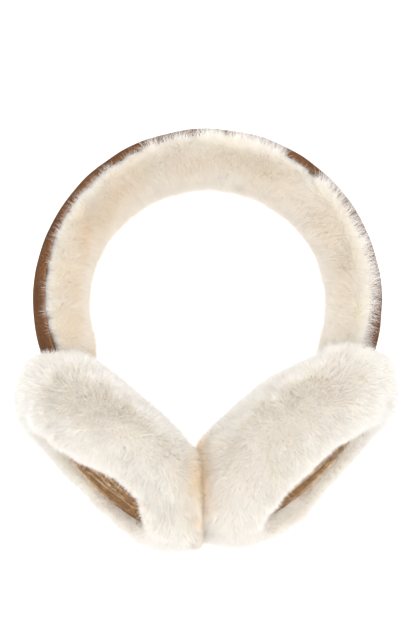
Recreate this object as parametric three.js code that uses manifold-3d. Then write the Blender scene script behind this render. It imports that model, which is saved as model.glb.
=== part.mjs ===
// Fur earmuffs: a sprung suede headband lined with shearling, and two fat shearling ear
// pads, each with a domed suede disc on its outer face. They lie on their back edges, as on
// a table. Millimetres, +Z up, +Y towards the crown of the band, the floor at Z = 0.

import * as THREE from 'three';
import { ImprovedNoise } from 'three/addons/math/ImprovedNoise.js';
import { mergeVertices } from 'three/addons/utils/BufferGeometryUtils.js';
import Module from 'manifold-3d';

const wasm = await Module();
wasm.setup();

const degrees = THREE.MathUtils.degToRad;

// Headband, measured from the centre of its round
const bandRadius = 88.5;        // outside of the suede, at its crown
const bandWidth = 43;           // across the suede, front to back
const bandCrown = 6.5;          // how far the suede turns in towards its edges
const suedeWall = 1.8;
const liningDepth = 28;         // crown of the suede to the inner tips of the wool
const liningWidth = 53;         // across the wool, front to back
const liningPress = 3.2;        // how far the wool is flattened on the floor
const liningFullness = 0.8;     // 1 is an oval section, less is squarer
const liningRest = 0.33;        // share of the wool's depth at which it meets the floor
const bandEndAngle = degrees(20);   // below the horizontal, where the band reaches the pads
const tongueLength = 18;        // band that goes on inside the pads
const tongueSqueeze = 0.5;      // share of its wool's depth that the pads squeeze away

// Wool
const lockSpacing = 7;
const lockLength = 2.6;
const lockSpread = 0.35;        // share of the length that differs from lock to lock
const lockLean = 0.6;           // sideways reach of a lock's tip, for each mm of its length
const lumpHeight = 1.1;
const lumpSize = 24;

// Ear pads
const cupRadius = 60;
const cupThickness = 46;
const bandBite = 8.5;           // rim of a pad to the band's middle line, where it ends
const cupToe = degrees(5);      // turns the outer faces a little to the front
const meetingPlane = -3.8;      // X of the plane where the pads press on each other
const cupPress = 4.6;           // how far the wool is flattened on the floor

// Suede discs
const panelRadius = 34.5;
const panelDome = 3.6;
const panelInset = 0.9;         // middle of the disc below the crest of the wool
const panelSlip = 5;            // off the middle of the pad, away from the band
const panelFold = 0.7;          // height of the soft creases in the suede
const panelFoldWidth = 3.2;

const clearance = 0.3;          // between two pieces that lie on each other

// Each pad: its side, how far its inner end is pressed flat by the other pad, its place
// outwards from the end of the band, and how much fatter its ear side is in the middle
const cups = [
    { name: 'left', side: -1, squeeze: 7.6, setOut: 19.5, bulge: 0 },
    { name: 'right', side: 1, squeeze: 3, setOut: 16, bulge: 8.5 },
];

// A pad's half section, from the middle of the outer face to the middle of the ear side:
// shares of its radius and of half its thickness
const cupSection = [
    { reach: 0, height: 0.86 },
    { reach: 0.34, height: 0.9 },
    { reach: 0.68, height: 1 },
    { reach: 0.88, height: 0.72 },
    { reach: 0.98, height: 0.3 },
    { reach: 0.99, height: -0.22 },
    { reach: 0.88, height: -0.72 },
    { reach: 0.68, height: -0.97 },
    { reach: 0.36, height: -1 },
    { reach: 0, height: -0.94 },
];

// The soft creases of a suede disc: share of its radius, the way it lies and its span
const panelFolds = [
    { reach: 0.5, toward: degrees(-90), span: degrees(80) },
    { reach: 0.74, toward: degrees(-75), span: degrees(55) },
    { reach: 0.62, toward: degrees(100), span: degrees(60) },
];

const archSteps = 6;
const furSteps = 12;
const panelSteps = 5;
const panelSides = 32;
const roomStations = 6;         // sections of the band's room above the pad

const lipRadius = bandRadius - bandCrown;
const furHalfWidth = liningWidth / 2 - lockLength;
const furDepth = lipRadius - clearance - (bandRadius - liningDepth) - lockLength;
const middleRadius = bandRadius - liningDepth / 2;
const crestHeight = cupThickness / 2 - lockLength;
const tongueAngle = tongueLength / middleRadius;
const stationAngle = lockSpacing / middleRadius;
const bandStart = -bandEndAngle - tongueAngle;
const bandEnd = Math.PI + bandEndAngle + tongueAngle;

const suede = { color: 0x7a5433, roughness: 0.92, metalness: 0 };
const paleSuede = { color: 0xa47b52, roughness: 0.92, metalness: 0 };
const wool = { color: 0xe9dfd2, roughness: 1, metalness: 0 };

const noise = new ImprovedNoise();

function scatter(index) {
    const wave = Math.sin(index * 127.1 + 311.7) * 43758.5453;
    return wave - Math.floor(wave);
}

function meshBody(positions, triangles) {
    const geometry = new THREE.BufferGeometry();
    geometry.setAttribute('position', new THREE.Float32BufferAttribute(positions, 3));
    geometry.setIndex(triangles);
    return geometry;
}

function onlyPositions(geometry) {
    geometry.deleteAttribute('normal');
    geometry.deleteAttribute('uv');
    return mergeVertices(geometry, 1e-4);
}

function toSolid(geometry) {
    return new wasm.Manifold(new wasm.Mesh({
        numProp: 3,
        vertProperties: new Float32Array(geometry.attributes.position.array),
        triVerts: new Uint32Array(geometry.index.array),
    }));
}

// The largest body is kept, so a lock's tip that a cut sets free goes with the cut
function fromSolid(solid) {
    const bodies = solid.decompose();
    bodies.sort((one, other) => other.volume() - one.volume());
    const mesh = bodies[0].getMesh();
    return meshBody(mesh.vertProperties, Array.from(mesh.triVerts));
}

// Sections set round the centre of the band, with flat ends. A section runs anticlockwise,
// with X as its radius and Y as its depth.
function sweepRound(sectionAt, start, end) {
    const steps = Math.ceil((end - start) / stationAngle);
    const section = sectionAt(start);
    const count = section.length;
    const positions = [];
    const triangles = [];
    for (let station = 0; station <= steps; station += 1) {
        const angle = start + (end - start) * station / steps;
        for (const point of sectionAt(angle)) {
            positions.push(point.x * Math.cos(angle), point.x * Math.sin(angle), point.y);
        }
    }
    for (let station = 0; station < steps; station += 1) {
        for (let index = 0; index < count; index += 1) {
            const here = station * count + index;
            const beside = station * count + (index + 1) % count;
            triangles.push(here, beside + count, beside);
            triangles.push(here, here + count, beside + count);
        }
    }
    const last = steps * count;
    for (const [a, b, c] of THREE.ShapeUtils.triangulateShape(section, [])) {
        triangles.push(a, b, c);
        triangles.push(last + a, last + c, last + b);
    }
    return meshBody(positions, triangles);
}

// The suede's arch from its back edge over the crown to its front edge, moved out by grow
function archPoints(grow) {
    const points = [];
    for (let step = 0; step <= archSteps; step += 1) {
        const turn = Math.PI * (step / archSteps - 0.5);
        const radius = lipRadius + (bandCrown + grow) * Math.cos(turn);
        points.push(new THREE.Vector2(radius, (bandWidth / 2 + grow) * Math.sin(turn)));
    }
    return points;
}

// How much of the wool's depth is left at an angle round the band
function woolShare(angle) {
    const fromCrown = Math.abs(angle - Math.PI / 2);
    const inPad = fromCrown - Math.PI / 2 - bandEndAngle;
    return 1 - tongueSqueeze * THREE.MathUtils.smoothstep(inPad, 0, tongueAngle);
}

// The wool from the front edge round the inside of the band to the back edge
function furPoints(angle, grow) {
    const points = [];
    const depth = furDepth * woolShare(angle);
    for (let step = 0; step <= furSteps; step += 1) {
        const turn = Math.PI * step / furSteps;
        const across = Math.sign(Math.cos(turn)) * Math.abs(Math.cos(turn)) ** liningFullness;
        const inwards = Math.sin(turn) ** liningFullness;
        const radius = lipRadius - clearance - (depth + grow) * inwards;
        points.push(new THREE.Vector2(radius, (furHalfWidth + grow) * across));
    }
    return points;
}

// Some corners of a closed surface, none beside another, are drawn out into locks of wool
function raiseLocks(geometry, combAt, mayRise) {
    geometry.computeVertexNormals();
    const places = geometry.attributes.position;
    const normals = geometry.attributes.normal;
    const corners = geometry.index.array;
    const neighbours = Array.from({ length: places.count }, () => new Set());
    for (let corner = 0; corner < corners.length; corner += 3) {
        const face = [corners[corner], corners[corner + 1], corners[corner + 2]];
        for (const one of face) {
            face.forEach((other) => neighbours[one].add(other));
        }
    }
    const order = Array.from({ length: places.count }, (_, index) => index);
    order.sort((one, other) => scatter(one) - scatter(other));
    const raised = new Set();
    for (const index of order) {
        const place = new THREE.Vector3().fromBufferAttribute(places, index);
        const crowded = [...neighbours[index]].some((other) => raised.has(other));
        if (crowded || !mayRise(place)) {
            continue;
        }
        raised.add(index);
        const length = lockLength * (1 - lockSpread * scatter(index + 0.5));
        const normal = new THREE.Vector3().fromBufferAttribute(normals, index);
        place.addScaledVector(combAt(place), length * lockLean);
        place.addScaledVector(normal, length);
        places.setXYZ(index, place.x, place.y, place.z);
    }
    geometry.deleteAttribute('normal');
    return geometry;
}

// A solid is flat where it would reach past the far side of a plane
function pressOnto(solid, plane) {
    const size = 4 * bandRadius;
    const facing = new THREE.Quaternion().setFromUnitVectors(
        new THREE.Vector3(0, 0, -1), plane.normal);
    const beyond = onlyPositions(new THREE.BoxGeometry(size, size, size))
        .translate(0, 0, size / 2)
        .applyQuaternion(facing)
        .translate(...plane.coplanarPoint(new THREE.Vector3()));
    return solid.subtract(toSolid(beyond));
}

function bandShell() {
    const section = [...archPoints(0), ...archPoints(-suedeWall).reverse()];
    return sweepRound(() => section, bandStart, bandEnd);
}

function bandFleece(floor) {
    const sectionAt = (angle) => [
        ...archPoints(-suedeWall - clearance),
        ...furPoints(angle, 0),
    ];
    const geometry = sweepRound(sectionAt, bandStart, bandEnd);
    const combAt = (place) => new THREE.Vector3(-place.y, place.x, 0).normalize();
    const mayRise = (place) => Math.hypot(place.x, place.y) < lipRadius - lockLength
        && Math.abs(Math.atan2(place.x, place.y)) < Math.PI / 2 + bandEndAngle;
    return fromSolid(pressOnto(toSolid(raiseLocks(geometry, combAt, mayRise)), floor));
}

// The room that one end of the band takes up in a pad
function bandRoom(side) {
    const sectionAt = (angle) => [
        ...archPoints(clearance),
        ...furPoints(angle, lockLength + clearance),
    ];
    const reach = tongueAngle + clearance / middleRadius;
    const entry = -bandEndAngle + roomStations * stationAngle;
    const bottom = -bandEndAngle - reach;
    if (side > 0) {
        return sweepRound(sectionAt, bottom, entry);
    }
    return sweepRound(sectionAt, Math.PI - entry, Math.PI - bottom);
}

// A pad is a closed round whose own Y axis points out of its outer face
function cupRound(bulge) {
    const radius = cupRadius - lockLength;
    const curve = new THREE.SplineCurve(cupSection.map(
        ({ reach, height }) => new THREE.Vector2(reach * radius, height * crestHeight)));
    const detail = Math.round(cupRadius / lockSpacing);
    const geometry = onlyPositions(new THREE.IcosahedronGeometry(1, detail));
    const places = geometry.attributes.position;
    for (let index = 0; index < places.count; index += 1) {
        const way = new THREE.Vector3().fromBufferAttribute(places, index).normalize();
        const point = curve.getPointAt(way.angleTo(new THREE.Vector3(0, 1, 0)) / Math.PI);
        const reach = Math.max(point.x, 0);
        const earSide = Math.max(-point.y / crestHeight, 0) * (1 - (reach / radius) ** 2);
        const flat = Math.hypot(way.x, way.z) || 1;
        const place = new THREE.Vector3(way.x / flat * reach, point.y - bulge * earSide,
            way.z / flat * reach);
        const lump = noise.noise(place.x / lumpSize, place.y / lumpSize + bulge,
            place.z / lumpSize);
        place.addScaledVector(way, lump * lumpHeight);
        places.setXYZ(index, place.x, place.y, place.z);
    }
    return geometry;
}

function panelHeight(reach, turn) {
    const share = reach / panelRadius;
    let height = crestHeight - panelInset - panelDome * share ** 2;
    for (const fold of panelFolds) {
        const off = Math.atan2(Math.sin(turn - fold.toward), Math.cos(turn - fold.toward));
        const along = Math.max(Math.cos(Math.PI / 2 * Math.min(Math.abs(off) / fold.span, 1)), 0);
        const across = (reach - fold.reach * panelRadius) / panelFoldWidth;
        height += panelFold * along * Math.exp(-across * across);
    }
    return height;
}

// A round body between two heights that follow the disc's dome
function domedBody(radius, under, over, steps) {
    const profile = [];
    for (let step = 0; step <= steps; step += 1) {
        profile.push(new THREE.Vector2(radius * step / steps, 0));
    }
    for (let step = steps; step >= 0; step -= 1) {
        profile.push(new THREE.Vector2(radius * step / steps, 1));
    }
    const geometry = onlyPositions(new THREE.LatheGeometry(profile, panelSides));
    const places = geometry.attributes.position;
    for (let index = 0; index < places.count; index += 1) {
        const x = places.getX(index);
        const z = places.getZ(index);
        const height = places.getY(index) < 0.5 ? under : over;
        places.setY(index, height(Math.hypot(x, z), Math.atan2(z, x)));
    }
    return geometry;
}

function panelUnderside(reach) {
    return crestHeight - panelInset - suedeWall - panelDome * (reach / panelRadius) ** 2;
}

function cupPanel() {
    return domedBody(panelRadius, panelUnderside, panelHeight, panelSteps);
}

function panelSeat(side) {
    const under = (reach) => panelUnderside(reach) - clearance;
    const over = () => cupThickness;
    return domedBody(panelRadius + clearance, under, over, panelSteps)
        .translate(side * panelSlip, 0, 0);
}

function cupFleece(cup, place, floor, meeting) {
    const intoCup = place.clone().invert();
    const combAt = (point) => new THREE.Vector3(point.x, 0, point.z).normalize();
    const round = toSolid(raiseLocks(cupRound(cup.bulge), combAt, () => true));
    const standing = pressOnto(round, floor.clone().applyMatrix4(intoCup));
    const pressed = pressOnto(standing, meeting.clone().applyMatrix4(intoCup));
    const room = toSolid(bandRoom(cup.side).applyMatrix4(intoCup));
    const seat = toSolid(panelSeat(cup.side));
    return fromSolid(pressed.subtract(room).subtract(seat));
}

function named(name, geometry, finish) {
    const mesh = new THREE.Mesh(geometry, new THREE.MeshStandardMaterial(finish));
    mesh.name = name;
    return mesh;
}

// A pad swings on the end of the band until its inner end is squeezed on the other pad.
// This is how far its outer face then leans below the horizontal.
function cupLean({ side, squeeze, setOut }) {
    const fromPlane = middleRadius * Math.cos(bandEndAngle) - side * meetingPlane;
    const along = (cupRadius - bandBite) + (cupRadius - cupThickness / 2);
    const reach = fromPlane + squeeze - cupThickness / 2;
    return Math.asin(reach / Math.hypot(along, setOut)) + Math.atan2(setOut, along);
}

function cupCentre(cup) {
    const inwards = cupRadius - bandBite;
    const lean = cupLean(cup);
    const x = cup.side * (middleRadius * Math.cos(bandEndAngle)
        - inwards * Math.sin(lean) + cup.setOut * Math.cos(lean));
    const y = -middleRadius * Math.sin(bandEndAngle) - inwards * Math.cos(lean)
        - cup.setOut * Math.sin(lean);
    return new THREE.Vector3(x, y, 0);
}

// The floor touches the round rims of the pads and the back of the lining at the crown
const lowY = (cupCentre(cups[0]).y + cupCentre(cups[1]).y) / 2;
const restLength = lipRadius - clearance - furDepth * liningRest - lowY;
const cupDrop = cupRadius - cupPress;
const liningDrop = liningWidth / 2 - liningPress;
const tilt = Math.asin(cupDrop / Math.hypot(restLength, liningDrop))
    - Math.atan2(liningDrop, restLength);
const lift = cupDrop + lowY * Math.sin(tilt);
const floorPlane = new THREE.Plane(
    new THREE.Vector3(0, -Math.sin(tilt), Math.cos(tilt)), lift);

const earmuffs = new THREE.Group();
earmuffs.rotation.x = -tilt;
earmuffs.add(named('band_shell', bandShell(), suede));
earmuffs.add(named('band_fleece', bandFleece(floorPlane), wool));

for (const cup of cups) {
    const holder = new THREE.Group();
    holder.position.copy(cupCentre(cup));
    holder.rotation.z = -cup.side * (Math.PI / 2 + cupLean(cup));
    holder.rotateX(cupToe);
    holder.updateMatrix();
    const meeting = new THREE.Plane(new THREE.Vector3(cup.side, 0, 0),
        -cup.side * meetingPlane - clearance / 2);
    const fleece = cupFleece(cup, holder.matrix, floorPlane, meeting);
    holder.add(named(`cup_fleece_${cup.name}`, fleece, wool));
    const panel = named(`cup_panel_${cup.name}`, cupPanel(), paleSuede);
    panel.position.x = cup.side * panelSlip;
    holder.add(panel);
    earmuffs.add(holder);
}

// The origin is on the floor, under the middle of the whole
const stand = new THREE.Group();
stand.add(earmuffs);
const middle = new THREE.Box3().setFromObject(stand, true).getCenter(new THREE.Vector3());
earmuffs.position.set(-middle.x, -middle.y, lift);

export default stand;
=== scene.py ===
# Fur earmuffs: a suede headband lined with shearling, two shearling ear pads and their suede
# discs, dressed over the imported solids. Metres, the floor at Z = 0, +Y towards the crown.

import math

import bmesh
import bpy
import numpy as np
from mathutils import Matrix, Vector
from mathutils.bvhtree import BVHTree
from mathutils.kdtree import KDTree


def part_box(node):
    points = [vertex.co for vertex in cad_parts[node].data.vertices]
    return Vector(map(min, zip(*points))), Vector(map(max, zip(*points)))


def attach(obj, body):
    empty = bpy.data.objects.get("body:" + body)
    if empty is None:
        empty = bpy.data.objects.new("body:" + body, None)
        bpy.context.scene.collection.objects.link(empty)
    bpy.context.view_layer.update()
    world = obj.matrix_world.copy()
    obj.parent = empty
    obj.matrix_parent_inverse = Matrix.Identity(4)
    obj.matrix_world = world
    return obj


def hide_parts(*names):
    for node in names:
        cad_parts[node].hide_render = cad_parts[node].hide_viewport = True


bl_info = {
    "name": "Fur Earmuffs",
    "version": (1, 0, 0),
    "blender": (4, 5, 0),
    "location": "3D View > Sidebar > Earmuffs",
    "description": "Shearling earmuffs with a suede headband and suede discs",
    "category": "Add Mesh",
}

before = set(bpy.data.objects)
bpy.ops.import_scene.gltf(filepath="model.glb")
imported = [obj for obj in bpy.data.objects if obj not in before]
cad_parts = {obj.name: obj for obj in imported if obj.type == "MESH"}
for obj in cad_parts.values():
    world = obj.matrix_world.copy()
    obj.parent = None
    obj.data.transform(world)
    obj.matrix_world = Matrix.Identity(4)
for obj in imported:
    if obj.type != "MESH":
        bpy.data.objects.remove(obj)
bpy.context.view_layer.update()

MM = 0.001
BODY = "root"
SIDES = ("left", "right")
# The sign of X from each pad towards the other one
TOWARD = {"left": 1, "right": -1}

# The photograph's frame in pixels, and where the top of the band lies in it
FRAME_HEIGHT = 624
BAND_TOP_PIXEL = 130.5
TABLE_HALF = 3.0

# The soft bodies under the wool
VOXEL = 2.0 * MM
SMOOTHING_SHARE = 0.6
SMOOTHING_PASSES = 14

# Wool has its full length where the nearest neighbour is FULL_ROOM away; nothing further
# than SEARCH_REACH is looked for
FULL_ROOM = 6 * MM
SEARCH_REACH = 14 * MM
# How fibres differ in length, stray, ruffle, lean over and draw together
ROOT_DEPTH_MM = 0.6
LENGTH_SHARES = (0.8, 1.06)
STRAY_SHARE = 0.03
STRAY_DRAW = 0.1
RUFFLE = 0.66
LEAN = 0.85
RAGGED_DRAW = 0.35
# No fibre comes closer to the table than this
LOWEST = 0.3 * MM
# Numbers that turn the place of a cell into one key
CELL_PRIMES = (73856093, 19349663, 83492791)

# The share of the light that passes through the wool
FIBRE_THROUGH = 0.62
HIDE_THROUGH = 0.5

# How far the wool is brushed over the front edge of the suede: degrees round the band,
# anticlockwise from the right, and the share of the edge that it hides
FRONT_SPILL = [
    (-40, 0.6), (-20, 0.5), (-9, 0.45), (-2, 0.95), (8, 0.95), (14, 0.85), (20, 0.7),
    (30, 0.75), (34, 0.95), (43, 0.85), (47, 0.05), (60, 0.05), (63, 0.65), (80, 0.6), (95, 0.55),
    (104, 0.4), (116, 0.2), (124, 0.13), (140, 0.16), (152, 0.22), (163, 0.13), (176, 0.14),
    (180, 0.26), (187, 0.24), (192, 0.14), (220, 0.12),
]


class SuedeSettings(bpy.types.PropertyGroup):
    wall: bpy.props.FloatProperty(
        name="Wall", description="Thickness of the headband's suede",
        default=1.8 * MM, min=1.0 * MM, max=3.0 * MM, unit="LENGTH")
    disc_wall: bpy.props.FloatProperty(
        name="Disc wall", description="Thickness of a suede disc",
        default=1.8 * MM, min=1.0 * MM, max=3.0 * MM, unit="LENGTH")
    disc_dome: bpy.props.FloatProperty(
        name="Disc dome", description="How far the middle of a disc stands above its rim",
        default=3.6 * MM, min=0.0, max=8.0 * MM, unit="LENGTH")
    fold_height: bpy.props.FloatProperty(
        name="Fold height", description="Height of the soft creases in a disc",
        default=0.7 * MM, min=0.0, max=2.0 * MM, unit="LENGTH")
    band_colour: bpy.props.FloatVectorProperty(
        name="Band colour", description="Suede of the headband", subtype="COLOR",
        size=3, min=0.0, max=1.0, default=(0.155, 0.074, 0.037))
    # The headband's paler nap: worn along the lips, and a painted rim light along the crown
    band_wear_and_rim_light: bpy.props.FloatVectorProperty(
        name="Band edge colour", description="Suede of the headband where it is worn",
        subtype="COLOR", size=3, min=0.0, max=1.0, default=(0.36, 0.2, 0.1))
    disc_colour: bpy.props.FloatVectorProperty(
        name="Disc colour", description="Suede of the discs", subtype="COLOR",
        size=3, min=0.0, max=1.0, default=(0.34, 0.19, 0.092))
    disc_worn: bpy.props.FloatVectorProperty(
        name="Disc crease colour", description="Raised nap on the creases of the discs",
        subtype="COLOR", size=3, min=0.0, max=1.0, default=(0.76, 0.57, 0.39))


class WoolSettings(bpy.types.PropertyGroup):
    pad_length: bpy.props.FloatProperty(
        name="Pad fibre length", description="Length of the wool on the ear pads",
        default=6.2 * MM, min=2.0 * MM, max=20.0 * MM, unit="LENGTH")
    band_length: bpy.props.FloatProperty(
        name="Band fibre length", description="Length of the wool on the headband",
        default=6.2 * MM, min=2.0 * MM, max=20.0 * MM, unit="LENGTH")
    longest: bpy.props.FloatProperty(
        name="Longest fibre", description="No fibre is longer than this",
        default=15.0 * MM, min=5.0 * MM, max=30.0 * MM, unit="LENGTH")
    fibre_width: bpy.props.FloatProperty(
        name="Fibre width", description="Width of a fibre at its root",
        default=0.27 * MM, min=0.05 * MM, max=1.0 * MM, unit="LENGTH")
    pad_fibres: bpy.props.IntProperty(
        name="Pad fibres", description="Fibres on one ear pad",
        default=290000, min=1000, max=380000)
    band_fibres: bpy.props.IntProperty(
        name="Band fibres", description="Fibres on the headband",
        default=215000, min=1000, max=380000)
    clump_spacing: bpy.props.FloatProperty(
        name="Clump spacing", description="Distance between tufts",
        default=2.6 * MM, min=1.0 * MM, max=12.0 * MM, unit="LENGTH")
    clump_strength: bpy.props.FloatProperty(
        name="Clump strength", description="How far the tips of a tuft draw together",
        default=0.06, min=0.0, max=1.0, subtype="FACTOR")
    swept_share: bpy.props.FloatProperty(
        name="Swept share", description="Share of long fibres brushed over the suede",
        default=0.6, min=0.0, max=1.0, subtype="FACTOR")
    tip_colour: bpy.props.FloatVectorProperty(
        name="Tip colour", description="Wool at its tips", subtype="COLOR",
        size=3, min=0.0, max=1.0, default=(0.975, 0.97, 0.96))
    root_colour: bpy.props.FloatVectorProperty(
        name="Root colour", description="Wool near the hide", subtype="COLOR",
        size=3, min=0.0, max=1.0, default=(0.99, 0.925, 0.835))
    # Painted shade: the tan of the crease where the two pads press together
    crease_shade_colour: bpy.props.FloatVectorProperty(
        name="Crease shade colour", description="Wool where the two pads press together",
        subtype="COLOR", size=3, min=0.0, max=1.0, default=(0.96, 0.85, 0.69))


class StageSettings(bpy.types.PropertyGroup):
    camera_distance: bpy.props.FloatProperty(
        name="Camera distance", description="From the camera to the middle of the part",
        default=1.6, min=0.3, max=10.0, unit="LENGTH")
    seen_height: bpy.props.FloatProperty(
        name="Seen height", description="Height that the picture takes in at the part",
        default=0.3164, min=0.1, max=2.0, unit="LENGTH")
    key_power: bpy.props.FloatProperty(
        name="Key light", description="Power of the soft light overhead",
        default=35.6, min=0.0, max=500.0, unit="POWER")
    sky_strength: bpy.props.FloatProperty(
        name="Sky", description="Strength of the even light all round",
        default=0.85, min=0.0, max=5.0)
    floor_glow: bpy.props.FloatProperty(
        name="Floor glow", description="Light that the white table gives off itself",
        default=1.12, min=0.0, max=5.0)


def read_rows(items, field, kind):
    """One value of three numbers from each vertex or triangle of a mesh."""
    values = np.empty(len(items) * 3, kind)
    items.foreach_get(field, values)
    return values.reshape(-1, 3)


def node_points(name):
    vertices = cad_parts[name].data.vertices
    return read_rows(vertices, "co", np.float32).astype(float)


def unit(vectors):
    length = np.linalg.norm(vectors, axis=-1, keepdims=True)
    return vectors / np.maximum(length, 1e-9)


def smoothstep(low, high, values):
    share = np.clip((values - low) / (high - low), 0, 1)
    return share * share * (3 - 2 * share)


def flattest_way(points):
    """The direction in which a set of points reaches least."""
    return np.linalg.svd(points - points.mean(0), full_matrices=False)[2][2]


def circle_centre(points):
    rows = np.column_stack([2 * points, np.ones(len(points))])
    fit = np.linalg.lstsq(rows, (points ** 2).sum(1), rcond=None)[0]
    return fit[:2]


def front_spill(angle):
    """Share of the suede's front edge that wool hides, at angles round the band."""
    degrees = (np.degrees(angle) + 90) % 360 - 90
    return np.interp(degrees, *zip(*FRONT_SPILL))


def near_crease(points, meeting, spread):
    """1 on the plane where the pads meet, falling away over a spread in mm."""
    return np.exp(-((points[:, 0] - meeting) / (spread * MM)) ** 2)


class Ring:
    """The round of the headband: its centre, its axis towards the front and its sizes."""

    def __init__(self):
        points = node_points("band_shell")
        self.axis = flattest_way(points)
        self.axis *= np.sign(self.axis[2])
        self.across = unit(np.cross([0.0, 1.0, 0.0], self.axis))
        self.up = np.cross(self.axis, self.across)
        flat = np.column_stack([points @ self.across, points @ self.up])
        depth = points @ self.axis
        centre = circle_centre(flat)
        reach = np.linalg.norm(flat - centre, axis=1)
        outer = reach > reach.max() - 1.0 * MM
        centre = circle_centre(flat[outer])
        middle = depth[outer].mean()
        self.centre = centre[0] * self.across + centre[1] * self.up + middle * self.axis
        reach = np.linalg.norm(flat - centre, axis=1)
        self.crown_radius = reach.max()
        self.half_width = np.abs(depth - middle).max()
        front = depth > depth.max() - 0.5 * MM
        self.lip_radius = reach[front].max()
        angle = np.arctan2(flat[:, 0] - centre[0], flat[:, 1] - centre[1])
        self.end_angle = np.abs(angle).max()

    def place(self, radius, angle, depth):
        """World points from radii, angles (anticlockwise from the right) and depths."""
        radius, angle, depth = np.broadcast_arrays(radius, angle, depth)
        return (self.centre
                + (radius * np.cos(angle))[..., None] * self.across
                + (radius * np.sin(angle))[..., None] * self.up
                + depth[..., None] * self.axis)

    def way_out(self, angle):
        """Directions away from the middle of the band."""
        return unit(self.place(1.0, angle, 0.0) - self.centre)

    def measure(self, points):
        """Radii, angles and depths of world points."""
        off = points - self.centre
        right = off @ self.across
        high = off @ self.up
        return np.hypot(right, high), np.arctan2(high, right), off @ self.axis


class Disc:
    """The place of one suede disc: its middle, its way out and its own two directions."""

    def __init__(self, side, ring):
        points = node_points(f"cup_panel_{side}")
        self.out = flattest_way(points)
        middle = points.mean(0)
        pad_middle = node_points(f"cup_fleece_{side}").mean(0)
        self.out *= np.sign((middle - pad_middle) @ self.out)
        self.front = unit(ring.axis - (ring.axis @ self.out) * self.out)
        self.along = np.cross(self.out, self.front)
        off = points - middle
        height = off @ self.out
        self.radius = np.hypot(off @ self.along, off @ self.front).max()
        rim = np.hypot(off @ self.along, off @ self.front) > self.radius - 0.5 * MM
        self.middle = middle + height[rim].max() * self.out

    def place(self, reach, turn, height):
        reach, turn, height = np.broadcast_arrays(reach, turn, height)
        return (self.middle
                + (reach * np.cos(turn))[..., None] * self.along
                + (reach * np.sin(turn))[..., None] * self.front
                + height[..., None] * self.out)


def waves(points, size, seed, count=7):
    """Smooth, repeatable values of about -1 to 1 over points, with features of one size."""
    rng = np.random.default_rng(seed)
    total = np.zeros(len(points))
    for _ in range(count):
        way = unit(rng.normal(size=3)) * 2 * math.pi / size * rng.uniform(0.6, 1.4)
        total += np.sin(points @ way + rng.uniform(0, 2 * math.pi))
    return total / math.sqrt(count)


def new_object(name, mesh, materials):
    piece = bpy.data.objects.new(name, mesh)
    bpy.context.scene.collection.objects.link(piece)
    for material in materials:
        mesh.materials.append(material)
    return piece


def mesh_from_faces(name, points, faces, smooth=True):
    mesh = bpy.data.meshes.new(name)
    mesh.from_pydata([tuple(p) for p in points], [], [tuple(f) for f in faces])
    if smooth:
        mesh.shade_smooth()
    mesh.update()
    return mesh


def mesh_from_triangles(name, points, triangles):
    mesh = bpy.data.meshes.new(name)
    mesh.vertices.add(len(points))
    mesh.vertices.foreach_set("co", points.astype(np.float32).ravel())
    mesh.loops.add(triangles.size)
    mesh.loops.foreach_set("vertex_index", triangles.astype(np.int32).ravel())
    mesh.polygons.add(len(triangles))
    starts = np.arange(0, triangles.size, 3, dtype=np.int32)
    mesh.polygons.foreach_set("loop_start", starts)
    mesh.shade_smooth()
    mesh.update()
    return mesh


def turn_faces_out(mesh):
    turned = bmesh.new()
    turned.from_mesh(mesh)
    bmesh.ops.recalc_face_normals(turned, faces=turned.faces)
    turned.to_mesh(mesh)
    turned.free()


def point_values(mesh, name, values):
    attribute = mesh.attributes.new(name, "FLOAT", "POINT")
    attribute.data.foreach_set("value", values.astype(np.float32))


def grid_faces(rows, columns, closed):
    """Quads of a grid of points, row by row; closed joins the last column to the first."""
    faces = []
    for row in range(rows - 1):
        for column in range(columns if closed else columns - 1):
            beside = (column + 1) % columns
            here = row * columns
            faces.append((here + column, here + beside,
                          here + columns + beside, here + columns + column))
    return faces


def mix_colours(nodes, links, factor, first, second):
    """A colour mix; factor, first and second are sockets or plain colours."""
    mix = nodes.new("ShaderNodeMix")
    mix.data_type = "RGBA"
    mix.clamp_factor = True
    for index, value in ((0, factor), (6, first), (7, second)):
        if isinstance(value, bpy.types.NodeSocket):
            links.new(value, mix.inputs[index])
        else:
            mix.inputs[index].default_value = value
    return mix.outputs[2]


def ramp(nodes, links, value, low, high):
    """A value stretched so that low becomes 0 and high becomes 1."""
    stretch = nodes.new("ShaderNodeMapRange")
    stretch.inputs["From Min"].default_value = low
    stretch.inputs["From Max"].default_value = high
    links.new(value, stretch.inputs["Value"])
    return stretch.outputs["Result"]


def rgba(colour, scale=1.0):
    return tuple(min(c * scale, 1.0) for c in colour) + (1.0,)


def new_group(name, inputs, outputs):
    """An empty node group with named sockets, with its own start and end nodes."""
    group = bpy.data.node_groups.new(name, "ShaderNodeTree")
    for label, kind in inputs:
        group.interface.new_socket(label, in_out="INPUT", socket_type=kind)
    for label, kind in outputs:
        group.interface.new_socket(label, in_out="OUTPUT", socket_type=kind)
    start = group.nodes.new("NodeGroupInput")
    end = group.nodes.new("NodeGroupOutput")
    return group, start, end


def noise(nodes, links, scale, roughness):
    """Soft noise over the piece's own coordinates; scale is a socket."""
    where = nodes.new("ShaderNodeTexCoord")
    texture = nodes.new("ShaderNodeTexNoise")
    texture.inputs["Detail"].default_value = 3.0
    texture.inputs["Roughness"].default_value = roughness
    links.new(where.outputs["Object"], texture.inputs["Vector"])
    links.new(scale, texture.inputs["Scale"])
    return texture.outputs["Fac"]


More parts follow.
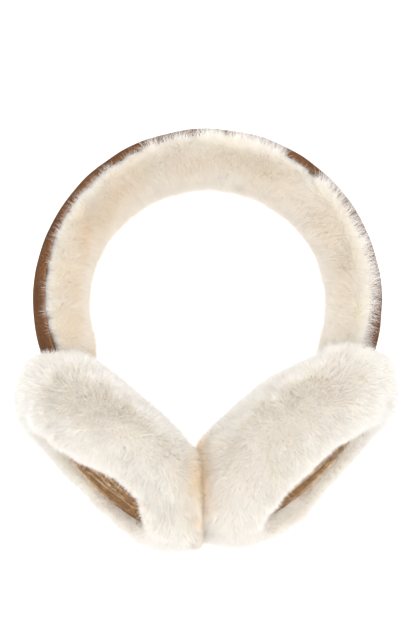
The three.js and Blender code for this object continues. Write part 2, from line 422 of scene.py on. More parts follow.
def suede_group(name):
    """Suede: brushed patches, the grain of the nap, and a paler nap where the mesh's mask is
    high: wear, and on the headband's crown a painted rim light.
    """
    colours = ("Deep", "Pale", "Grain", "Wear and rim deep", "Wear and rim pale")
    values = ("Wear and rim light", "Patch scale", "Nap scale")
    inputs = [(label, "NodeSocketColor") for label in colours]
    inputs += [(label, "NodeSocketFloat") for label in values]
    outputs = [("Colour", "NodeSocketColor"), ("Nap", "NodeSocketFloat")]
    group, start, end = new_group(name, inputs, outputs)
    nodes, links, given = group.nodes, group.links, start.outputs
    patches = noise(nodes, links, given["Patch scale"], 0.6)
    nap = noise(nodes, links, given["Nap scale"], 0.75)
    brushed = ramp(nodes, links, patches, 0.3, 0.7)
    grain = ramp(nodes, links, nap, 0.4, 0.6)
    ground = mix_colours(nodes, links, brushed, given["Deep"], given["Pale"])
    grained = mix_colours(nodes, links, grain, given["Grain"], ground)
    wear_and_rim_light = mix_colours(nodes, links, grain, given["Wear and rim deep"], given["Wear and rim pale"])
    colour = mix_colours(nodes, links, given["Wear and rim light"], grained, wear_and_rim_light)
    links.new(colour, end.inputs["Colour"])
    links.new(nap, end.inputs["Nap"])
    return group


def tone_group(name):
    """Wool: slow patches of a lighter and a deeper tone."""
    group, start, end = new_group(name, [("Patch scale", "NodeSocketFloat")],
                                  [("Tone", "NodeSocketFloat")])
    patches = noise(group.nodes, group.links, start.outputs["Patch scale"], 0.5)
    tone = ramp(group.nodes, group.links, patches, 0.35, 0.7)
    group.links.new(tone, end.inputs["Tone"])
    return group


def made_once(collection, name, make):
    """The material or node group of a name, made on first use."""
    return collection.get(name) or make(name)


def new_material(name):
    material = bpy.data.materials.new(name)
    material.use_nodes = True
    tree = material.node_tree
    return material, tree.nodes, tree.links, tree.nodes["Principled BSDF"]


def mesh_value(nodes, name):
    """A value that the mesh carries at its points."""
    attribute = nodes.new("ShaderNodeAttribute")
    attribute.attribute_name = name
    return attribute.outputs["Fac"]


def suede_material(name, colour, wear_and_rim_light, nap_scale, shade, bump):
    """Suede: mottled nap, a lighter nap where the mesh's mask for wear and painted rim light is
    high.
    """
    material, nodes, links, shader = new_material(name)
    nap = nodes.new("ShaderNodeGroup")
    nap.node_tree = made_once(bpy.data.node_groups, "suede_nap", suede_group)
    for label, value in (("Deep", rgba(colour, 0.72)), ("Pale", rgba(colour, 1.3)),
                         ("Grain", rgba(colour, shade)), ("Wear and rim deep", rgba(wear_and_rim_light, 0.5)),
                         ("Wear and rim pale", rgba(wear_and_rim_light, 1.08)), ("Patch scale", 70.0),
                         ("Nap scale", nap_scale)):
        nap.inputs[label].default_value = value
    links.new(mesh_value(nodes, "wear_and_rim_light"), nap.inputs["Wear and rim light"])
    links.new(nap.outputs["Colour"], shader.inputs["Base Color"])
    height = nodes.new("ShaderNodeBump")
    height.inputs["Strength"].default_value = 0.6
    height.inputs["Distance"].default_value = bump
    links.new(nap.outputs["Nap"], height.inputs["Height"])
    links.new(height.outputs["Normal"], shader.inputs["Normal"])
    shader.inputs["Roughness"].default_value = 0.95
    shader.inputs["Specular IOR Level"].default_value = 0.0
    return material


def fibre_colour(nodes, links, tone, settings):
    """Warmer at the roots, and a painted tan shade in the crease where the pads press together.
    """
    root, tip = settings.root_colour, settings.tip_colour
    roots = mix_colours(nodes, links, tone, rgba(root, 0.97), rgba(root, 1.04))
    along = mesh_value(nodes, "along")
    warmth_and_shade = mesh_value(nodes, "warmth_and_shade")
    warm = tuple(0.45 * t + 0.55 * r for t, r in zip(tip, root))
    # Tips warm with the mesh's value, which holds the wool's own warmer patches and, on the pads,
    # painted shade
    tips = mix_colours(nodes, links, warmth_and_shade, rgba(tip), rgba(warm))
    reach = ramp(nodes, links, along, 0.0, 0.75)
    clean = mix_colours(nodes, links, reach, roots, tips)
    # Where the value passes 1.3 the wool takes the painted crease shade
    pressed = ramp(nodes, links, warmth_and_shade, 1.3, 2.2)
    return mix_colours(nodes, links, pressed, clean, rgba(settings.crease_shade_colour))


def wool_material(name, settings, fibre):
    """Wool that is warmer at its roots; light passes through the fibres."""
    material, nodes, links, shader = new_material(name)
    shader.inputs["Roughness"].default_value = 1.0
    shader.inputs["Specular IOR Level"].default_value = 0.1
    patches = nodes.new("ShaderNodeGroup")
    patches.node_tree = made_once(bpy.data.node_groups, "wool_tone", tone_group)
    patches.inputs["Patch scale"].default_value = 45.0
    tone = patches.outputs["Tone"]
    if fibre:
        base = fibre_colour(nodes, links, tone, settings)
    else:
        pale = tuple((t + r) / 2 for t, r in zip(settings.tip_colour, settings.root_colour))
        base = mix_colours(nodes, links, tone, rgba(pale, 0.96), rgba(pale, 1.03))
    links.new(base, shader.inputs["Base Color"])
    through = nodes.new("ShaderNodeBsdfTranslucent")
    links.new(base, through.inputs["Color"])
    both = nodes.new("ShaderNodeMixShader")
    both.inputs["Fac"].default_value = FIBRE_THROUGH if fibre else HIDE_THROUGH
    links.new(shader.outputs["BSDF"], both.inputs[1])
    links.new(through.outputs["BSDF"], both.inputs[2])
    links.new(both.outputs["Shader"], nodes["Material Output"].inputs["Surface"])
    return material


def band_material():
    suede = bpy.context.scene.earmuff_suede
    return made_once(bpy.data.materials, "chestnut_nap", lambda name: suede_material(
        name, suede.band_colour, suede.band_wear_and_rim_light, 700.0, 0.72, 0.4 * MM))


def disc_material():
    suede = bpy.context.scene.earmuff_suede
    return made_once(bpy.data.materials, "tan_nap", lambda name: suede_material(
        name, suede.disc_colour, suede.disc_worn, 430.0, 0.42, 0.6 * MM))


def fibre_material():
    wool = bpy.context.scene.earmuff_wool
    return made_once(bpy.data.materials, "wool_fibres",
                     lambda name: wool_material(name, wool, True))


def hide_material():
    wool = bpy.context.scene.earmuff_wool
    return made_once(bpy.data.materials, "wool_roots",
                     lambda name: wool_material(name, wool, False))


class Surface:
    """A soft body's surface for wool to grow on: points, normals and triangles."""

    def __init__(self, piece):
        self.read(piece.data)

    def read(self, mesh):
        mesh.calc_loop_triangles()
        self.points = read_rows(mesh.vertices, "co", np.float32).astype(float)
        self.normals = read_rows(mesh.vertex_normals, "vector", np.float32).astype(float)
        self.faces = read_rows(mesh.loop_triangles, "vertices", np.int32)

    def write(self, piece):
        """Puts moved points back into the body, and reads its new normals."""
        mesh = piece.data
        mesh.vertices.foreach_set("co", self.points.astype(np.float32).ravel())
        mesh.update()
        self.read(mesh)


def soft_body(name, node, inset, materials):
    """A smooth closed body inside a wool solid, for the fibres to stand on."""
    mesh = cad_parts[node].data.copy()
    mesh.materials.clear()
    joined = bmesh.new()
    joined.from_mesh(mesh)
    bmesh.ops.remove_doubles(joined, verts=joined.verts, dist=0.01 * MM)
    joined.to_mesh(mesh)
    joined.free()
    rough = new_object(name + "_rough", mesh, [])
    remesh = rough.modifiers.new("remesh", "REMESH")
    remesh.mode = "VOXEL"
    remesh.voxel_size = VOXEL
    smooth = rough.modifiers.new("smooth", "SMOOTH")
    smooth.factor = SMOOTHING_SHARE
    smooth.iterations = SMOOTHING_PASSES
    shrink = rough.modifiers.new("shrink", "DISPLACE")
    shrink.strength = -inset
    shrink.mid_level = 0.0
    depsgraph = bpy.context.evaluated_depsgraph_get()
    finished = bpy.data.meshes.new_from_object(rough.evaluated_get(depsgraph))
    finished.name = name
    finished.shade_smooth()
    bpy.data.objects.remove(rough)
    bpy.data.meshes.remove(mesh)
    return new_object(name, finished, materials)


def solid_tree(names):
    """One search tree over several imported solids."""
    points, faces = [], []
    for name in names:
        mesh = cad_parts[name].data
        mesh.calc_loop_triangles()
        base = len(points)
        points.extend(v.co.copy() for v in mesh.vertices)
        faces.extend(tuple(base + i for i in t.vertices) for t in mesh.loop_triangles)
    return BVHTree.FromPolygons(points, faces)


def room_to_grow(surface, neighbours, least):
    """0 at points where a neighbouring solid stands closer above them than least, 1 where
    the wool has its full room."""
    tree = solid_tree(neighbours)
    room = np.full(len(surface.points), SEARCH_REACH)
    for index, (point, normal) in enumerate(zip(surface.points, surface.normals)):
        hit = tree.ray_cast(Vector(point), Vector(normal), SEARCH_REACH)
        if hit[0] is not None:
            room[index] = hit[3]
    return smoothstep(least, FULL_ROOM, room)


def scatter_roots(surface, weights, count, rng):
    """Places on a surface in proportion to area and weight: the corners of a triangle and
    the share of each."""
    a, b, c = (surface.points[surface.faces[:, i]] for i in range(3))
    area = np.linalg.norm(np.cross(b - a, c - a), axis=1)
    chance = area * weights[surface.faces].mean(1)
    chance /= chance.sum()
    face = rng.choice(len(chance), size=count, p=chance)
    first = np.sqrt(rng.random(count))
    second = rng.random(count)
    shares = np.column_stack([1 - first, first * (1 - second), first * second])
    corners = surface.faces[face]
    return corners, shares


def blend_at(values, corners, shares):
    """Values given at a surface's points, at the scattered places."""
    picked = values[corners]
    if picked.ndim == 3:
        return (picked * shares[..., None]).sum(1)
    return (picked * shares).sum(1)


def clump_tips(roots, tips, spacing, strength):
    """Draws the tips of the fibres towards the tip of the middle fibre of their tuft."""
    cells = np.floor(roots / spacing).astype(np.int64) * CELL_PRIMES
    keys = cells[:, 0] ^ cells[:, 1] ^ cells[:, 2]
    chosen = np.unique(keys, return_index=True)[1]
    tree = KDTree(len(chosen))
    for place, index in enumerate(chosen):
        tree.insert(roots[index], place)
    tree.balance()
    nearest = np.array([tree.find(root)[1] for root in roots])
    leader = chosen[nearest]
    return tips + (tips[leader] - tips) * strength[:, None]


def fibre_mesh(name, roots, tips, faces_out, warmth_and_shade, width, rng):
    """Narrow blades that come to a point, one triangle each."""
    count = len(roots)
    along = unit(tips - roots)
    flat_way = unit(faces_out + 0.2 * rng.normal(size=(count, 3)))
    side = unit(np.cross(along, flat_way))
    facing = (np.cross(side, along) * faces_out).sum(1)
    side *= np.where(facing < 0, -1, 1)[:, None]
    wide = (width * rng.uniform(0.7, 1.25, count))[:, None]
    points = np.stack([roots - side * wide / 2, roots + side * wide / 2, tips], 1)
    triangles = np.arange(3 * count).reshape(-1, 3)
    mesh = mesh_from_triangles(name, points.reshape(-1, 3), triangles)
    point_values(mesh, "along", np.tile([0.0, 0.0, 1.0], count))
    warmth_and_shade = np.clip(warmth_and_shade + 0.2 * rng.normal(size=count), 0, 2.2)
    point_values(mesh, "warmth_and_shade", np.repeat(warmth_and_shade, 3))
    return mesh


def grow_wool(surface, name, settings, count, weights, lengths, comb, warmth_and_shade, uneven,
              limits, seed, swept=None):
    """Covers a surface with fibres. Weights, lengths, comb, warmth and unevenness are
    given at its points, and so is the way that some long fibres are swept; limits moves
    fibre points that would leave the wool's own room."""
    rng = np.random.default_rng(seed)
    corners, shares = scatter_roots(surface, weights, count, rng)
    places = blend_at(surface.points, corners, shares)
    normals = unit(blend_at(surface.normals, corners, shares))
    combed = blend_at(comb, corners, shares)
    warm = blend_at(warmth_and_shade, corners, shares)
    length = blend_at(lengths, corners, shares) * rng.uniform(*LENGTH_SHARES, count)
    ragged = blend_at(uneven, corners, shares)
    length *= 1 - ragged * rng.random(count)
    stray = rng.random(count) < STRAY_SHARE
    length = np.where(stray, length * (1.15 + 1.0 * ragged), length)
    ruffle = rng.normal(size=(count, 3)) * RUFFLE
    width = np.full(count, settings.fibre_width)
    loose = np.zeros(count)
    if swept is not None:
        long_ones = rng.random(count) < settings.swept_share
        push = blend_at(swept, corners, shares) * long_ones[:, None]
        loose = np.minimum(np.linalg.norm(push, axis=1) / 2, 1)
        length *= 1 + 0.62 * np.linalg.norm(push, axis=1)
        width *= 1 - 0.4 * loose
        ruffle *= 1 + 0.9 * loose[:, None]
        combed += push
    length = np.minimum(length, settings.longest)
    way = combed + ruffle
    way -= (way * normals).sum(1)[:, None] * normals
    roots = places - normals * ROOT_DEPTH_MM * MM
    tips = places + unit(normals + LEAN * way) * length[:, None]
    drawn = settings.clump_strength + RAGGED_DRAW * ragged * (1 - loose)
    strength = np.minimum(drawn * rng.uniform(0.6, 1.3, count), 0.95)
    strength = np.where(stray, STRAY_DRAW, strength)
    tips = limits(clump_tips(roots, tips, settings.clump_spacing, strength))
    for number, part in enumerate(np.array_split(np.arange(count), 2), 1):
        label = f"{name}_fibres_{number}"
        mesh = fibre_mesh(label, roots[part], tips[part], normals[part], warm[part],
                          width[part], rng)
        piece = new_object(label, mesh, [fibre_material()])
        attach(piece, BODY)


class EARMUFFS_OT_stage(bpy.types.Operator):
    """Camera, white table and soft light"""

    bl_idname = "earmuffs.stage"
    bl_label = "Stage"

    def execute(self, context):
        stage = context.scene.earmuff_stage
        ring = Ring()
        low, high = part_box("band_shell")
        view = bpy.data.cameras.new("camera")
        view.sensor_width = 36.0
        view.lens = view.sensor_width * stage.camera_distance / stage.seen_height
        view.clip_end = 20.0
        camera = bpy.data.objects.new("camera", view)
        context.scene.collection.objects.link(camera)
        context.scene.camera = camera
        height = ring.centre[2] + 2.5 * MM + stage.camera_distance
        top_depth = ring.centre[2] - ring.crown_radius * -ring.up[2]
        pixels_up = FRAME_HEIGHT / 2 - BAND_TOP_PIXEL
        reach = pixels_up * stage.seen_height / FRAME_HEIGHT
        reach *= (height - top_depth) / stage.camera_distance
        middle = (low.x + high.x) / 2
        camera.location = (middle + 0.25 * MM, high.y - reach, height)

        half = TABLE_HALF
        corners = [(-half, -half, 0), (half, -half, 0), (half, half, 0), (-half, half, 0)]
        floor_mesh = mesh_from_faces("table", corners, [(0, 1, 2, 3)], smooth=False)
        white, _, _, shader = new_material("table_white")
        shader.inputs["Base Color"].default_value = (0.16, 0.16, 0.16, 1)
        shader.inputs["Roughness"].default_value = 0.9
        shader.inputs["Emission Color"].default_value = (1, 1, 1, 1)
        shader.inputs["Emission Strength"].default_value = stage.floor_glow
        table = new_object("table", floor_mesh, [white])

        key = bpy.data.lights.new("soft_key", "AREA")
        key.shape = "DISK"
        key.size = 1.6
        key.energy = stage.key_power
        lamp = bpy.data.objects.new("soft_key", key)
        lamp.location = (0.05, 0.16, 2.1)
        aim = Vector((0, 0, 0.04)) - lamp.location
        lamp.rotation_euler = aim.to_track_quat("-Z", "Y").to_euler()
        context.scene.collection.objects.link(lamp)

        sky = bpy.data.worlds.new("studio")
        sky.use_nodes = True
        light = sky.node_tree.nodes["Background"]
        light.inputs["Color"].default_value = (1, 1, 1, 1)
        light.inputs["Strength"].default_value = stage.sky_strength
        context.scene.world = sky
        context.scene.view_settings.view_transform = "Standard"
        return {"FINISHED"}


class EARMUFFS_OT_headband(bpy.types.Operator):
    """Suede cover of the headband, wrapped over its front and back edges"""

    bl_idname = "earmuffs.headband"
    bl_label = "Suede headband"

    arch_points = 26
    lip_points = 5
    stations = 280

    def section(self, ring, wall):
        """Radii, depths, and wear with a painted rim light along the crown, of the closed
        section, anticlockwise.
        """
        crown = ring.crown_radius - ring.lip_radius
        turn = np.linspace(-math.pi / 2, math.pi / 2, self.arch_points)
        outer = np.column_stack([ring.lip_radius + crown * np.cos(turn),
                                 ring.half_width * np.sin(turn)])
        inner = np.column_stack([ring.lip_radius + (crown - wall) * np.cos(turn),
                                 (ring.half_width - wall) * np.sin(turn)])[::-1]
        roll = np.linspace(0, math.pi, self.lip_points + 2)[1:-1]
        middle = ring.half_width - wall / 2
        rolled = ring.lip_radius - wall / 2 * np.sin(roll)
        front = np.column_stack([rolled, middle + wall / 2 * np.cos(roll)])
        back = np.column_stack([rolled, -middle + wall / 2 * np.cos(roll)])
        points = np.vstack([outer, front, inner, back])
        wear_and_rim_light = np.zeros(len(points))
        # Paler nap along the front and back lips, where the suede is worn, and along the crown,
        # the band's outermost edge, a painted rim light
        wear_and_rim_light[:self.arch_points] = np.exp(-(np.cos(turn) / 0.09) ** 2) * 0.45
        wear_and_rim_light[:self.arch_points] += 0.55 * np.exp(-(np.sin(turn) / 0.5) ** 2)
        return points, wear_and_rim_light

    def execute(self, context):
        suede = context.scene.earmuff_suede
        ring = Ring()
        section, wear_and_rim_light = self.section(ring, suede.wall)
        start = math.pi / 2 - ring.end_angle
        angles = np.linspace(start, math.pi - start, self.stations)
        radius = np.tile(section[:, 0], (self.stations, 1))
        depth = np.tile(section[:, 1], (self.stations, 1))
        angle = np.tile(angles[:, None], (1, len(section)))
        flat = ring.place(radius, angle, depth).reshape(-1, 3)
        ripple = waves(flat, 26 * MM, 11).reshape(radius.shape) * 0.22 * MM
        edge = smoothstep(0.7, 1.0, np.abs(depth) / ring.half_width)
        pucker = waves(flat, 9 * MM, 12).reshape(radius.shape) * 0.3 * MM * edge
        radius = radius + np.minimum(ripple + pucker, 0.15 * MM)
        points = ring.place(radius, angle, depth).reshape(-1, 3)
        faces = [face[::-1] for face in grid_faces(self.stations, len(section), True)]
        last = (self.stations - 1) * len(section)
        faces.append(tuple(range(len(section))))
        faces.append(tuple(last + i for i in reversed(range(len(section)))))
        mesh = mesh_from_faces("headband_suede", points, faces)
        turn_faces_out(mesh)
        # Wear and the painted crown rim light, mottled
        wear_and_rim_mask = np.tile(wear_and_rim_light, self.stations) * (0.75 + 0.25 * waves(flat, 14 * MM, 13))
        point_values(mesh, "wear_and_rim_light", np.clip(wear_and_rim_mask, 0, 1))
        piece = new_object("headband_suede", mesh, [band_material()])
        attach(piece, BODY)
        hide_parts("band_shell")
        return {"FINISHED"}


class EARMUFFS_OT_discs(bpy.types.Operator):
    """Domed suede discs on the outer faces of the ear pads"""

    bl_idname = "earmuffs.discs"
    bl_label = "Suede discs"

    sides = 180
    rings = 52
    # Where a crease lies across the disc, its slope, its middle and half its length along the
    # disc, all in shares of the radius, then its width in mm and its height
    folds = (
        (-0.22, 0.14, 0.35, 0.60, 1.5, 0.35), (-0.38, 0.08, 0.20, 0.80, 1.7, 0.6),
        (-0.54, 0.12, 0.15, 0.75, 1.9, 0.8), (-0.68, 0.03, 0.20, 0.65, 2.1, 0.9),
        (-0.82, -0.04, 0.10, 0.55, 2.0, 0.8), (-0.93, 0.00, -0.10, 0.40, 2.0, 0.6),
        (0.12, -0.12, -0.20, 0.70, 1.8, 0.35), (0.34, 0.10, 0.10, 0.75, 2.0, 0.5),
        (0.56, -0.05, 0.00, 0.70, 2.2, 0.6), (0.78, 0.06, 0.10, 0.50, 2.0, 0.5),
    )

    # How strongly the half of the disc that is away from the front is rubbed pale
    rubbing = {"left": 0.8, "right": 1.5}

    def fold_height(self, radius, lengthwise, crosswise):
        total = np.zeros_like(lengthwise)
        crest = np.zeros_like(lengthwise)
        for place, slope, middle, half, width, size in self.folds:
            line = place + slope * lengthwise + 0.035 * np.sin(6.3 * lengthwise + 25 * place)
            across = (crosswise - line) * radius / (width * MM)
            off = np.clip(np.abs(lengthwise - middle) / half, 0, 1)
            bump = np.cos(off * math.pi / 2) * np.exp(-across ** 2)
            total += size * bump
            crest = np.maximum(crest, bump ** 1.3 * size ** 0.5)
        return total, crest

    def make(self, suede, number, side, disc):
        """One disc: its outer and inner faces, ring by ring, and a point in the middle."""
        share = np.linspace(0, 1, self.rings + 1)[1:] ** 0.9
        turns = np.linspace(0, 2 * math.pi, self.sides, endpoint=False)
        reach = (share * disc.radius)[:, None] * np.ones(self.sides)
        turn = np.ones(self.rings)[:, None] * turns
        toward = TOWARD[side]
        lengthwise = toward * np.cos(turn) * reach / disc.radius
        crosswise = np.sin(turn) * reach / disc.radius
        fold, crest = self.fold_height(disc.radius, lengthwise, crosswise)
        flat = disc.place(reach, turn, 0.0).reshape(-1, 3)
        soft = waves(flat, 19 * MM, 31 + number).reshape(reach.shape)
        fine = waves(flat, 6 * MM, 41 + number).reshape(reach.shape)
        height = suede.disc_dome * (1 - (reach / disc.radius) ** 2)
        height += suede.fold_height * fold + 0.25 * MM * soft + 0.08 * MM * fine
        rolled = smoothstep(disc.radius - 1.6 * MM, disc.radius, reach)
        height -= rolled ** 2 * 0.9 * MM
        top = disc.place(reach, turn, height)
        under = disc.place(reach * (1 - 0.012 * rolled), turn,
                           suede.disc_dome * (1 - (reach / disc.radius) ** 2)
                           - suede.disc_wall)
        middle_top = disc.place(0.0, 0.0, height[0].mean())
        middle_under = disc.place(0.0, 0.0, suede.disc_dome - suede.disc_wall)
        points = np.vstack([top.reshape(-1, 3), under[::-1].reshape(-1, 3),
                            [middle_top], [middle_under]])
        faces = grid_faces(2 * self.rings, self.sides, True)
        crown, base = len(points) - 2, len(points) - 1
        end = (2 * self.rings - 1) * self.sides
        for index in range(self.sides):
            beside = (index + 1) % self.sides
            faces.append((crown, beside, index))
            faces.append((base, end + index, end + beside))
        mesh = mesh_from_faces(f"{side}_disc_suede", points, faces)
        turn_faces_out(mesh)
        wear_and_rim_light = np.zeros(len(points))
        mottle = 0.85 + 0.3 * waves(flat, 4 * MM, 51 + number).reshape(reach.shape)
        rubbed = smoothstep(0.15, 0.8, -crosswise) * smoothstep(-0.7, 0.5, lengthwise)
        pale = (crest + self.rubbing[side] * rubbed) * mottle
        wear_and_rim_light[:crest.size] = np.clip(pale, 0, 1).ravel()
        point_values(mesh, "wear_and_rim_light", wear_and_rim_light)
        piece = new_object(f"{side}_disc_suede", mesh, [disc_material()])
        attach(piece, BODY)
        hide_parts(f"cup_panel_{side}")

    def execute(self, context):
        ring = Ring()
        for number, side in enumerate(SIDES):
            self.make(context.scene.earmuff_suede, number, side, Disc(side, ring))
        return {"FINISHED"}


class EARMUFFS_OT_band_wool(bpy.types.Operator):
    """Shearling lining of the headband"""

    bl_idname = "earmuffs.band_wool"
    bl_label = "Band wool"

    def execute(self, context):
        wool = context.scene.earmuff_wool
        ring = Ring()
        base = soft_body("band_wool", "band_fleece", 1.0 * MM, [hide_material()])
        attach(base, BODY)
        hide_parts("band_fleece")
        surface = Surface(base)
        reach, angle, depth = ring.measure(surface.points)
        inner = 1 - smoothstep(ring.crown_radius - 29 * MM, ring.crown_radius - 22 * MM, reach)
        outwards = ring.way_out(angle)
        spill = front_spill(angle)
        lip = smoothstep(ring.lip_radius - 9 * MM, ring.lip_radius - 1 * MM, reach)
        lip *= (2.5 - 1.3 * smoothstep(0.2, 0.5, spill)) * (depth > 0)
        surface.points += outwards * ((4.0 * inner - lip) * MM)[:, None]
        surface.write(base)
        neighbours = ["band_shell", "cup_fleece_left", "cup_fleece_right"]
        open_share = room_to_grow(surface, neighbours, 3.4 * MM)
        reach, angle, depth = ring.measure(surface.points)
        spill = front_spill(angle)
        ripple = 0.34 * waves(surface.points, 9 * MM, 61)
        spill += ripple * (0.3 + np.minimum(2 * spill, 0.7))
        spill = np.where(depth > 0, spill, 0.4 + 0.3 * waves(surface.points, 15 * MM, 62))
        spill = np.clip(spill, 0, 1)
        near_edge = smoothstep(ring.lip_radius - 13 * MM, ring.lip_radius - 1 * MM, reach)
        outwards = ring.way_out(angle)
        round_way = np.cross(ring.axis, outwards)
        parting = smoothstep(ring.lip_radius - 22 * MM, ring.lip_radius - 1 * MM, reach)
        flow = (0.8 * spill - 0.35) * parting
        comb = outwards * flow[:, None]
        comb += round_way * (0.35 * waves(surface.points, 38 * MM, 63))[:, None]
        comb += outwards * (0.3 * waves(surface.points, 21 * MM, 64))[:, None]
        comb -= outwards * (0.15 * (1 - parting))[:, None]
        lengths = wool.band_length * (0.55 + 0.45 * open_share)
        lengths *= 1 + 0.1 * waves(surface.points, 9 * MM, 65)
        lengths *= 1 - 0.32 * near_edge * (1 - spill)
        lengths *= 1 + 0.3 * near_edge * spill
        lengths *= 1 + 0.35 * inner
        weights = open_share * (1 + 0.8 * near_edge)
        left = smoothstep(0.3, 0.9, -np.cos(angle))
        warmth_and_shade = 0.8 - 0.8 * near_edge + 0.15 * waves(surface.points, 25 * MM, 66)
        warmth_and_shade += left * (1 - near_edge) * (0.5 + 0.3 * waves(surface.points, 16 * MM, 67))

        def limits(points):
            reach, angle, _ = ring.measure(points)
            outwards = ring.way_out(angle)
            farthest = np.random.default_rng(8).uniform(-1.5, 2.0, len(points)) * MM
            beyond = np.maximum(reach - ring.crown_radius - farthest, 0)
            points = points - outwards * beyond[:, None]
            points[:, 2] = np.maximum(points[:, 2], LOWEST)
            return points

        brushed = smoothstep(ring.lip_radius - 9 * MM, ring.lip_radius - 2 * MM, reach)
        uneven = 0.75 * near_edge * np.maximum(spill, 0.3)
        grow_wool(surface, "band_wool", wool, wool.band_fibres, weights, lengths, comb,
                  warmth_and_shade, uneven, limits, 7, outwards * (3.4 * spill * brushed)[:, None])
        return {"FINISHED"}


class EARMUFFS_OT_pad_wool(bpy.types.Operator):
    """Shearling of the two ear pads"""

    bl_idname = "earmuffs.pad_wool"
    bl_label = "Pad wool"

    # How much fuller the front rim beside the disc is, in mm, from the end of the disc that
    # is away from the band (-1) to the end beside it (1)
    rim_fullness = {
        "left": [(-1.5, 0.0), (-1.1, -3.0), (-0.8, -5.0), (-0.3, -2.6), (0.0, 0.6), (0.2, 2.4),
                 (0.6, 4.0), (1.0, 4.5)],
        "right": [(-1.0, 1.2), (-0.4, 1.6), (0.1, 1.4), (0.6, 2.0), (1.0, 2.6)],
    }
    # The same for the back rim
    back_fullness = {
        "left": [(-1.4, 0.0), (-0.9, 1.5), (-0.3, 0.0), (0.1, -1.8), (1.0, -2.0)],
        "right": [(-1.4, 0.0), (-0.9, 2.2), (-0.4, 3.0), (0.2, -1.2), (1.0, -2.0)],
    }
    # How far the ear side is drawn in, in mm, and how far the end beside the band goes out
    ear_slack = {
        "left": [(-1.5, 0.0), (-1.0, 1.0), (0.0, 4.2), (1.5, 4.0)],
        "right": [(-1.5, -0.5), (-0.8, 0.0), (0.1, 4.0), (0.8, 7.8), (1.5, 8.4)],
    }
    end_reach = {"left": (0.6, 0.3), "right": (0.0, 3.0)}
    # How far the end away from the band hangs down, in mm: all of it, more towards the other
    # pad, and more again where the two press together
    hang = {"left": (2.2, 2.6, 1.5, 14), "right": (1.6, 5.4, 3.5, 18)}
    hang_start = {"left": -0.6, "right": 0.2}
    # Where the wool of each pad ends, in mm of X from the middle of the crease
    crossing = {"left": 1.9, "right": -3.6}
    # How far the front of the crease is filled, in mm
    seam_fill = {"left": 4.8, "right": 6.4}

    def toward_band(self, disc, side):
        return disc.along if side == "left" else -disc.along

    def shape(self, surface, side, disc, meeting):
        """Moves the soft body's surface to where the brushed wool makes it look."""
        off = surface.points - disc.middle
        height = off @ disc.out
        band_way = self.toward_band(disc, side)
        along = off @ band_way / disc.radius
        front = off @ disc.front / disc.radius
        facing = surface.normals
        move = np.zeros_like(surface.points)
        rim = smoothstep(0.35, 0.95, front) * smoothstep(-20 * MM, -4 * MM, height)
        rim *= np.interp(along, *zip(*self.rim_fullness[side]))
        rim *= 1 + 0.25 * waves(surface.points, 10 * MM, 131 + SIDES.index(side))
        move += disc.out * (rim * MM)[:, None]
        back = smoothstep(0.2, 0.9, -front) * smoothstep(-20 * MM, -4 * MM, height)
        back *= np.interp(along, *zip(*self.back_fullness[side]))
        move += disc.out * (back * MM)[:, None]
        ear = smoothstep(0.2, 0.9, -(facing @ disc.out)) * smoothstep(-1.0, 0.2, front)
        ear *= np.interp(along, *zip(*self.ear_slack[side]))
        move += disc.out * (ear * MM)[:, None]
        top = smoothstep(0.9, 1.6, along)
        out_reach, band_reach = self.end_reach[side]
        outer = top * smoothstep(0.0, 0.8, facing @ disc.out)
        move += disc.out * (outer * out_reach * MM)[:, None]
        move += band_way * (top * band_reach * MM)[:, None]
        toward = TOWARD[side]
        below = smoothstep(0.2, 0.9, -facing[:, 1])
        whole, inner, pressed, spread = self.hang[side]
        near = near_crease(surface.points, meeting, spread)
        low = smoothstep(self.hang_start[side], -1.5, along)
        move[:, 1] -= below * low * (whole + inner * near) * MM
        seam = near_crease(surface.points, meeting, 5)
        lean = near_crease(surface.points, meeting, 6)
        move[:, 0] += toward * 1.8 * MM * lean * smoothstep(-0.3, 0.5, facing[:, 2])
        move[:, 2] += self.seam_fill[side] * MM * seam * smoothstep(-0.3, 0.5, facing[:, 2])
        move[:, 1] -= pressed * MM * seam * low * smoothstep(-0.2, 0.5, -facing[:, 1])
        surface.points += move
        limit = toward * (meeting + self.crossing[side] * MM) - 2.0 * MM
        inside = np.minimum(toward * surface.points[:, 0], limit)
        surface.points[:, 0] = toward * inside

    def make(self, wool, number, side, disc, meeting):
        """One pad: its soft body, then the way, length and warmth of its wool, with painted shade
        towards the lower middle and near the crease.
        """
        name = f"{side}_pad_wool"
        base = soft_body(name, f"cup_fleece_{side}", 0.5 * MM, [hide_material()])
        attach(base, BODY)
        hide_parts(f"cup_fleece_{side}")
        surface = Surface(base)
        self.shape(surface, side, disc, meeting)
        surface.write(base)
        neighbours = ["band_shell", "band_fleece", f"cup_panel_{side}"]
        open_share = room_to_grow(surface, neighbours, 3.2 * MM)
        off = surface.points - disc.middle
        height = off @ disc.out
        flat = off - height[:, None] * disc.out
        radial = unit(flat)
        from_disc = np.linalg.norm(flat, axis=1) - disc.radius
        on_face = smoothstep(-12 * MM, -2 * MM, height)
        inwards = on_face * (1 - smoothstep(1 * MM, 9 * MM, from_disc))
        comb = radial * (0.4 - 0.8 * inwards)[:, None]
        comb += np.array([0.0, -0.8, 0.0]) * (1 - 0.8 * inwards)[:, None]
        for size, strength in ((34, 0.25), (13, 0.13)):
            drift = [waves(surface.points, size * MM, 71 + k + 10 * number + size)
                     for k in range(3)]
            comb += strength * np.column_stack(drift)
        toward = TOWARD[side]
        closing = near_crease(surface.points, meeting, 9)
        closing *= smoothstep(0.1, 0.8, -surface.normals[:, 1])
        comb += np.array([2.0 * toward, 0.6, 0.0]) * closing[:, None]
        lengths = wool.pad_length * (0.55 + 0.45 * open_share)
        lengths *= 1 + 0.05 * waves(surface.points, 10 * MM, 91 + number)
        lengths *= 1 + 0.35 * closing
        lengths *= 1 - 0.25 * inwards
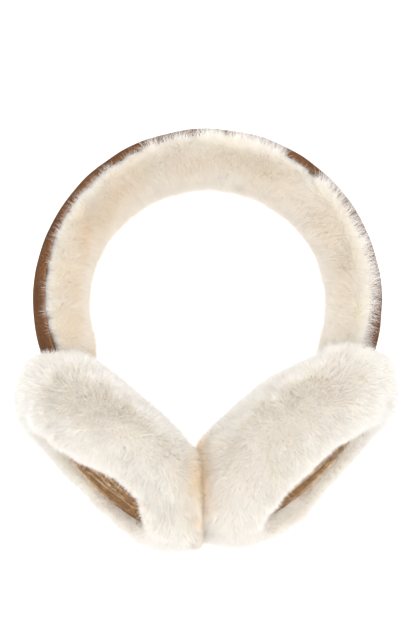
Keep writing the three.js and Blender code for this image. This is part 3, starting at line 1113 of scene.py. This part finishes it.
        # Painted shade: warmer tips towards the lower middle of the pads and near the crease
        near = near_crease(surface.points, meeting, 6)
        low = smoothstep(0, 55 * MM, -(flat @ self.toward_band(disc, side)))
        # Painted shade in the crease between the pads, turned tan in the material
        crease_shade = near_crease(surface.points, meeting, 6.5)
        crease_shade *= 0.85 + 0.3 * waves(surface.points, 9 * MM, 95)
        crease_shade *= 1 - smoothstep(0.3, 0.8, -surface.normals[:, 1])
        warmth_and_shade = 0.02 + 0.2 * low + 0.5 * near + 1.8 * crease_shade
        plane = meeting + self.crossing[side] * MM

        def limits(points, toward=toward, plane=plane, seed=111 + number):
            points[:, 2] = np.maximum(points[:, 2], LOWEST)
            uneven = np.random.default_rng(seed).uniform(-2.4, 0.6, len(points)) * MM
            ends = plane + toward * uneven
            beyond = toward * (points[:, 0] - ends) > 0
            points[beyond, 0] = ends[beyond]
            return points

        grow_wool(surface, name, wool, wool.pad_fibres, open_share, lengths, comb,
                  warmth_and_shade, 0.8 * inwards, limits, 101 + number)

    def execute(self, context):
        ring = Ring()
        meeting = (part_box("cup_fleece_left")[1].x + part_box("cup_fleece_right")[0].x) / 2
        for number, side in enumerate(SIDES):
            self.make(context.scene.earmuff_wool, number, side, Disc(side, ring), meeting)
        return {"FINISHED"}


class EARMUFFS_PT_panel(bpy.types.Panel):
    bl_idname = "EARMUFFS_PT_panel"
    bl_label = "Fur Earmuffs"
    bl_space_type = "VIEW_3D"
    bl_region_type = "UI"
    bl_category = "Earmuffs"

    def draw(self, context):
        layout = self.layout
        for operator in OPERATORS:
            layout.operator(operator.bl_idname)
        for group in ("earmuff_suede", "earmuff_wool", "earmuff_stage"):
            settings = getattr(context.scene, group)
            box = layout.box()
            for name in settings.bl_rna.properties.keys():
                if name not in ("rna_type", "name"):
                    box.prop(settings, name)


OPERATORS = (
    EARMUFFS_OT_stage,
    EARMUFFS_OT_headband,
    EARMUFFS_OT_discs,
    EARMUFFS_OT_band_wool,
    EARMUFFS_OT_pad_wool,
)
GROUPS = {
    "earmuff_suede": SuedeSettings,
    "earmuff_wool": WoolSettings,
    "earmuff_stage": StageSettings,
}


def register():
    for item in (*GROUPS.values(), *OPERATORS, EARMUFFS_PT_panel):
        bpy.utils.register_class(item)
    for name, group in GROUPS.items():
        setattr(bpy.types.Scene, name, bpy.props.PointerProperty(type=group))


def unregister():
    for name in GROUPS:
        delattr(bpy.types.Scene, name)
    for item in (EARMUFFS_PT_panel, *reversed(OPERATORS), *GROUPS.values()):
        bpy.utils.unregister_class(item)


def main():
    register()
    bpy.ops.earmuffs.stage()
    bpy.ops.earmuffs.headband()
    bpy.ops.earmuffs.discs()
    bpy.ops.earmuffs.band_wool()
    bpy.ops.earmuffs.pad_wool()


if __name__ == "__main__":
    main()
